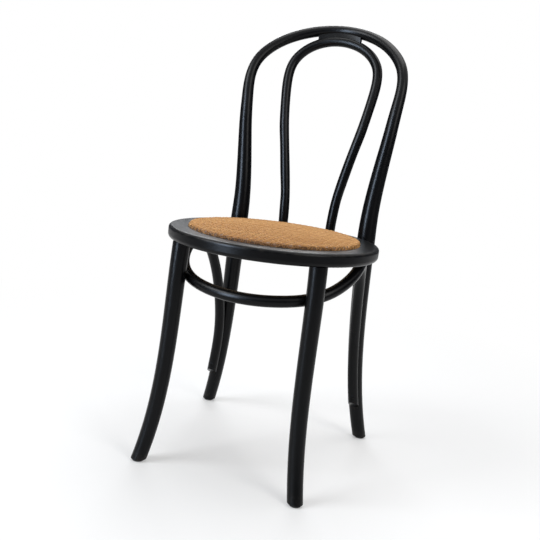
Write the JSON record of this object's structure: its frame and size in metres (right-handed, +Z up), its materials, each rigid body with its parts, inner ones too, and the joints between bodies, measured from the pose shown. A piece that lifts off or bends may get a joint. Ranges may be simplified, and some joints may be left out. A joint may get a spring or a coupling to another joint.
{
  "type": "bentwood bistro chair",
  "caption": "Bentwood bistro chair with a round cane seat in a bent ring frame, a looped back with an inner loop, splayed legs and a bent brace under the seat.",
  "frame": {"origin": "on the floor, at the middle of the bounding box of the whole chair", "axes": "+Z up; the front of the seat faces -Y and the back loop stands towards +Y; left and right in the names are as seen from the front, left at -X and right at +X"},
  "size_m": [0.414, 0.5121, 0.899],
  "materials": {
    "lacquered_wood": "satin near-black lacquer",
    "plywood": "bare",
    "pad_felt": "matt",
    "woven_cane": "satin natural cane",
    "steel": "zinc plated",
    "dark_steel": "black",
    "glide_plastic": "matt black"
  },
  "bodies": {
    "root": {"back_bow": "lacquered_wood", "inner_bow": "lacquered_wood", "crest_block": "lacquered_wood", "seat_ring": "lacquered_wood", "front_leg_left": "lacquered_wood", "front_leg_right": "lacquered_wood", "leg_brace": "lacquered_wood", "seat_panel": "plywood", "seat_pad": "pad_felt", "cane_cover": "woven_cane", "cover_staples": "steel", "seat_screws": "steel", "crest_screws": "dark_steel", "front_leg_screws": "dark_steel", "brace_front_screws": "dark_steel", "brace_ring_screws": "dark_steel", "brace_rear_screws": "dark_steel", "inner_bow_screws": "dark_steel", "rear_leg_bolts": "dark_steel", "rear_leg_washers": "steel", "rear_leg_nuts": "steel", "foot_glides": "glide_plastic", "glide_nails": "steel"}
  },
  "joints": []
}
